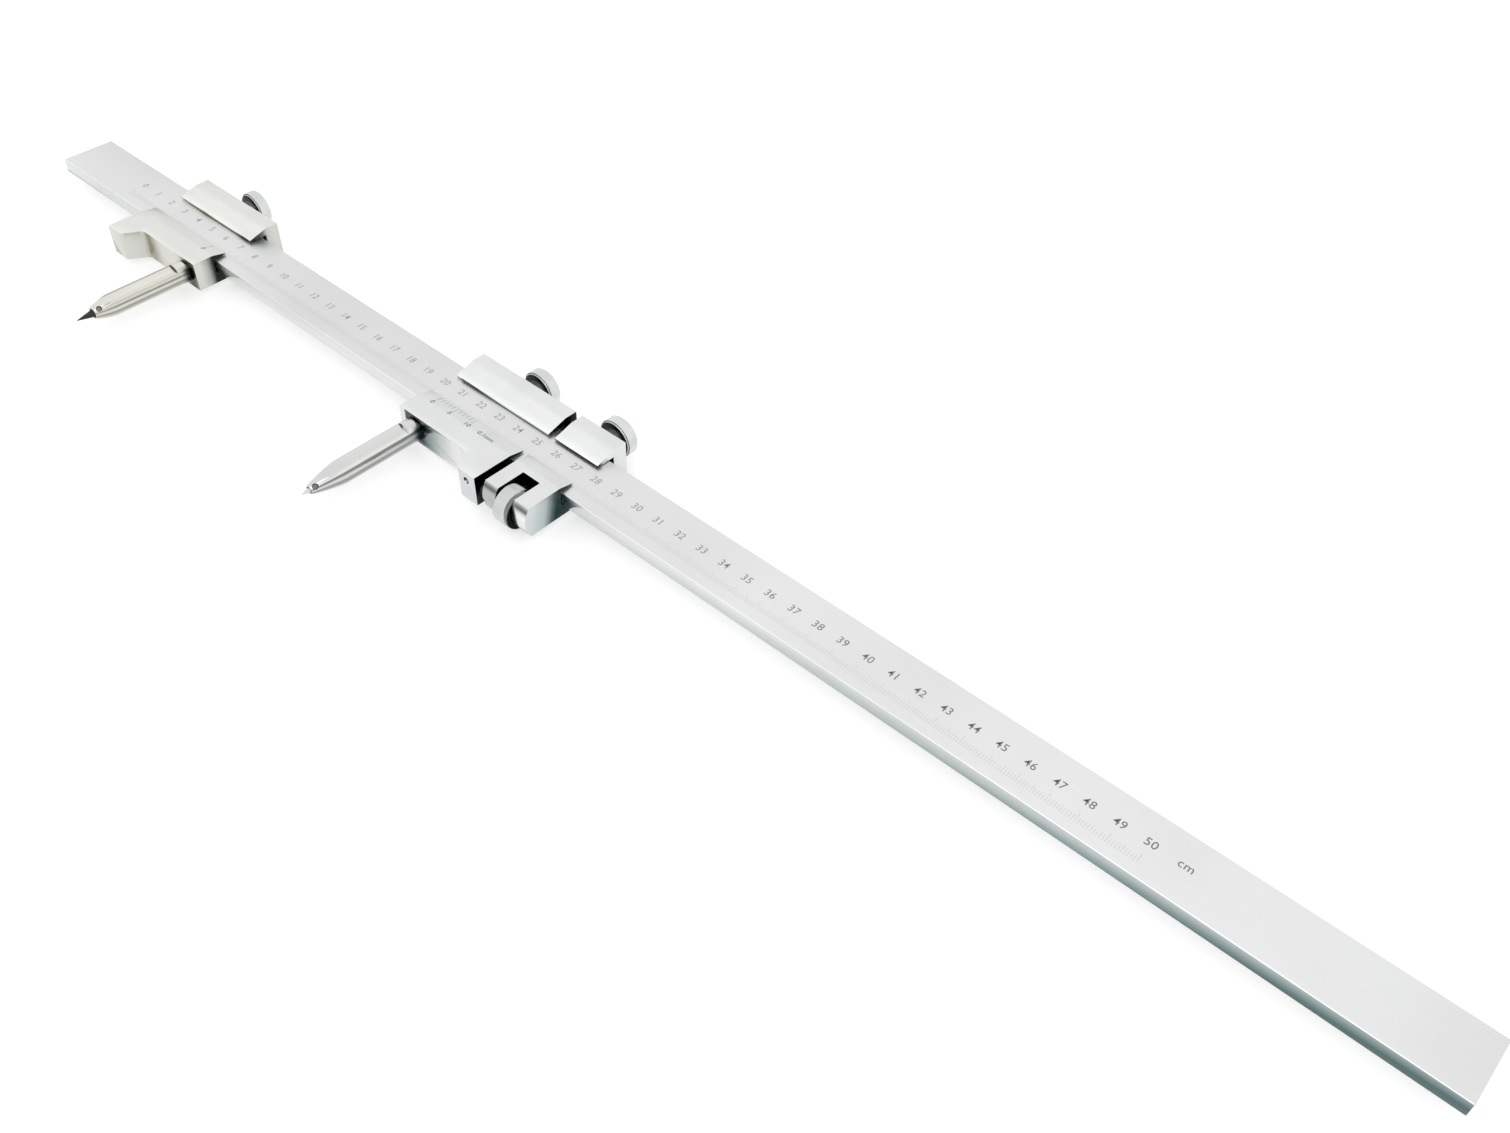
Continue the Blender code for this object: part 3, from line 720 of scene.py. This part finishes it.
# the cross pin
pinEdge, pinSteps = 0.0003, 64
pinLow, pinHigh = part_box("fine_screw_pin")
near, far, rim = pinLow[1], pinHigh[1], (pinHigh[0] - pinLow[0]) / 2
profile = [(near, 0), (near, rim - pinEdge), (near + pinEdge, rim), (far, rim), (far, 0)]
pinCentre = (middle("fine_screw_pin", 0), 0, middle("fine_screw_pin", 2))
pinSteel = brushedSteel("pinSteel", pinFinish)
pin = addObject("fine_pin_turned", turned(profile, "Y", pinSteps, pinCentre), pinSteel, "vernier_slider")
shade(pin)
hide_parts("fine_screw_pin")
print("fine adjustment done")

# scriber holders, needles and set screws
holderShared = {"radius": 0.0045, "edge": 0.0003, "fillet": 0.0001, "shank": 0.0030, "shankLength": 0.0065,
                "seat": 0.0003, "shoulder": 0.0337, "shoulderEdge": 0.0002, "flatHeight": 0.0032,
                "flatStart": 0.0050, "flatEnd": 0.0400, "slitWidth": 0.0005, "slitFloor": 0.0013,
                "slitStart": 0.0010, "slitTurn": math.radians(45), "gap": 0.0002, "wall": 0.0005,
                "swell": 0.00022, "clear": 0.002, "screw": 0.0009, "slotDepth": 0.0003, "slotWidth": 0.0002,
                "slotLength": 0.0024, "slotClear": 0.001, "taperBlend": 0.0002, "taperShare": 0.965,
                "tipBlend": 0.0003, "tipRadius": 0.00015, "tipEnd": 0.00005,
                "steps": 128, "needleSteps": 64, "screwSteps": 48}
rightValues = dict(holderShared, needle=0.0011, nose=0.0124, grip=0.0090, tip=0.0495, point=0.0040,
                   screwPlace=0.0017, flatTurn=math.radians(11))
leftValues = dict(holderShared, needle=0.0018, nose=0.0078, grip=0.0070, tip=0.0484, point=0.0080,
                  screwPlace=0.0020, flatTurn=math.radians(5))
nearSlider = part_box("right_scriber_holder")[1][1] - holderShared["shankLength"]


def turnedAt(x, angle):
    return Matrix.Translation((x, 0, scriberUp)) @ Matrix.Rotation(angle, 4, "Y")


def upright(x, v):
    # where a set screw stands, square to the rod and on the slit's side of the nose
    outward = Matrix.Translation((0, v["screwY"], 0)) @ Matrix.Rotation(math.pi / 2, 4, "X")
    return turnedAt(x, v["slitTurn"]) @ outward


def withPlaces(v):
    # places along the axis and radii that follow from the sizes above
    shoulderY = nearSlider - v["shoulder"]
    mouth = shoulderY - v["nose"]
    bore = v["needle"] + v["gap"]
    return dict(v, shoulderY=shoulderY, mouth=mouth, screwY=mouth + v["screwPlace"], bore=bore,
                lip=bore + v["wall"])


def holderProfile(v):
    # from the shank in the slider to the cone's mouth, and back along the needle's bore
    face, shoulder, mouth = nearSlider - v["seat"], v["shoulderY"], v["mouth"]
    boreEnd = mouth + v["grip"] + v["gap"]
    radius, fillet, bore, lip = v["radius"], v["fillet"], v["bore"], v["lip"]
    profile = [(nearSlider + v["shankLength"], 0), (nearSlider + v["shankLength"], v["shank"]),
               (face + fillet, v["shank"]), (face, radius - v["edge"]), (face - v["edge"], radius),
               (shoulder + v["shoulderEdge"], radius)]
    for share in (0.15, 0.3, 0.45, 0.6, 0.75, 0.9):
        bulge = math.sin(share * math.pi) * v["swell"]
        profile.append((shoulder - share * v["nose"], radius + (lip - radius) * share + bulge))
    profile += [(mouth + fillet, lip), (mouth, lip - fillet), (mouth, bore), (boreEnd, bore), (boreEnd, 0)]
    return profile


def holder(side, body, x, v, finish):
    mesh = turned(holderProfile(v), "Y", v["steps"], (x, 0, scriberUp))
    piece = addObject(side + "_holder_turned", mesh, finish, body)
    reach = v["radius"] + v["clear"]
    flat = boxMesh((-reach, nearSlider - v["flatEnd"], v["flatHeight"]),
                   (reach, nearSlider - v["flatStart"], reach))
    cut(piece, flat, turnedAt(x, v["flatTurn"]))
    half, slitFloor = v["slitWidth"] / 2, v["slitFloor"] + v["needle"]
    slit = boxMesh((-half, v["screwY"], slitFloor), (half, v["shoulderY"] - v["slitStart"], reach))
    cut(piece, slit, turnedAt(x, v["slitTurn"]))
    wide = v["screw"] + v["gap"]
    hole = turned([(0, 0), (0, wide), (reach, wide), (reach, 0)], "Y", v["screwSteps"])
    cut(piece, hole, upright(x, v))
    shade(piece, 30)
    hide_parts(side + "_scriber_holder")


def needle(side, body, x, v, material):
    tip, grip, thick, fillet = nearSlider - v["tip"], v["mouth"] + v["grip"], v["needle"], v["fillet"]
    taper, blend = tip + v["point"], v["taperBlend"]
    profile = [(grip, 0), (grip, thick - fillet), (grip - fillet, thick), (taper + blend, thick),
               (taper - blend, thick * v["taperShare"]), (tip + v["tipBlend"], v["tipRadius"]),
               (tip, v["tipEnd"]), (tip, 0)]
    mesh = turned(profile, "Y", v["needleSteps"], (x, 0, scriberUp))
    piece = addObject(side + "_needle_ground", mesh, material, body)
    shade(piece)
    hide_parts(side + "_scriber_needle")


def setScrew(side, body, x, v):
    radius, fillet, bore, lip = v["screw"], v["fillet"], v["bore"], v["lip"]
    top = lip + (v["radius"] - lip) * (v["screwPlace"] - radius) / v["nose"] - fillet
    profile = [(bore, 0), (bore, radius), (top - fillet, radius), (top, radius - fillet), (top, 0)]
    mesh = turned(profile, "Y", v["screwSteps"])
    mesh.transform(upright(x, v))
    piece = addObject(side + "_set_screw_slotted", mesh, pinSteel, body)
    long, wide = v["slotLength"] / 2, v["slotWidth"] / 2
    slot = boxMesh((-long, -wide, top - v["slotDepth"]), (long, wide, top + v["slotClear"]))
    cut(piece, slot, turnedAt(x, v["slitTurn"]) @ Matrix.Translation((0, v["screwY"], 0)))
    shade(piece)
    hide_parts(side + "_needle_set_screw")


def scriber(side, body, x, values, finish, material):
    v = withPlaces(values)
    holder(side, body, x, v, finish)
    needle(side, body, x, v, material)
    setScrew(side, body, x, v)


holderSteel = brushedSteel("holderSteel", holderFinish)
leftHolderSteel = brushedSteel("leftHolderSteel", leftHolderFinish)
needleSteel = brushedSteel("needleSteel", needleFinish)
leadBlack = brushedSteel("leadBlack", leadFinish)
scriber("left", "left_slider", scriberLeft, leftValues, leftHolderSteel, leadBlack)
scriber("right", "vernier_slider", scriberRight, rightValues, holderSteel, needleSteel)
print("scribers done")

# camera: a plain perspective at the photograph's viewpoint
cameraValues = {"place": (0.61212, -0.25047, 0.33887), "turn": (0.788466, -0.024379, 0.729014), "lens": 34.9,
                "sensor": 36, "clip": 0.01}
cameraData = bpy.data.cameras.new("camera")
cameraData.sensor_width = cameraValues["sensor"]
cameraData.lens = cameraValues["lens"]
cameraData.clip_start = cameraValues["clip"]
camera = bpy.data.objects.new("camera", cameraData)
camera.location = cameraValues["place"]
camera.rotation_euler = cameraValues["turn"]
scene.collection.objects.link(camera)
scene.camera = camera


def seenRays(tree, hidden, shown):
    # a level for light that bounces dully, and another for rays that reach the eye or a mirror
    rays = tree.nodes.new("ShaderNodeLightPath")
    total = rays.outputs["Is Camera Ray"]
    for name in ("Is Glossy Ray", "Is Transmission Ray"):
        larger = tree.nodes.new("ShaderNodeMath")
        larger.operation = "MAXIMUM"
        tree.links.new(total, larger.inputs[0])
        tree.links.new(rays.outputs[name], larger.inputs[1])
        total = larger.outputs[0]
    level = tree.nodes.new("ShaderNodeMapRange")
    level.inputs["To Min"].default_value = hidden
    level.inputs["To Max"].default_value = shown
    tree.links.new(total, level.inputs["Value"])
    return level.outputs["Result"]


# floor, just under the lowest piece
floorValues = {"low": (-3.0, -3.0), "high": (4.0, 3.5), "bottom": 0.012, "gap": 0.0006, "tone": 0.66,
               "glow": 0.48, "roughness": 0.9, "specular": 0.1}
lowest = cadBox[0][2]
floorMesh = boxMesh((*floorValues["low"], lowest - floorValues["bottom"]),
                    (*floorValues["high"], lowest - floorValues["gap"]))
floorNodes = Nodes("floorPaint")
floorInputs = floorNodes.shader.inputs
floorNodes.link(seenRays(floorNodes.tree, 0.0, floorValues["glow"]), floorInputs["Emission Strength"])
floorInputs["Emission Color"].default_value = (1, 1, 1, 1)
floorInputs["Base Color"].default_value = (*[floorValues["tone"]] * 3, 1)
floorInputs["Roughness"].default_value = floorValues["roughness"]
floorInputs["Specular IOR Level"].default_value = floorValues["specular"]
floor = addObject("floor", floorMesh, floorNodes.material, None)

# soft light
lightValues = {"hiddenSky": 0.88, "shownSky": 1.0, "place": (0.9, -0.6, 1.3), "target": (0.35, 0, 0),
               "size": 1.2, "power": 3}
world = bpy.data.worlds.new("studio")
scene.world = world
world.use_nodes = True
worldTree = world.node_tree
background = worldTree.nodes["Background"]
background.inputs["Color"].default_value = (1, 1, 1, 1)
sky = seenRays(worldTree, lightValues["hiddenSky"], lightValues["shownSky"])
worldTree.links.new(sky, background.inputs["Strength"])

lampData = bpy.data.lights.new("overhead", "AREA")
lampData.shape = "SQUARE"
lampData.size = lightValues["size"]
lampData.energy = lightValues["power"]
lamp = bpy.data.objects.new("overhead", lampData)
lamp.location = lightValues["place"]
aim = Vector(lightValues["target"]) - Vector(lightValues["place"])
lamp.rotation_euler = aim.to_track_quat("-Z", "Y").to_euler()
scene.collection.objects.link(lamp)
scene.view_settings.view_transform = "Standard"
print("stage done")
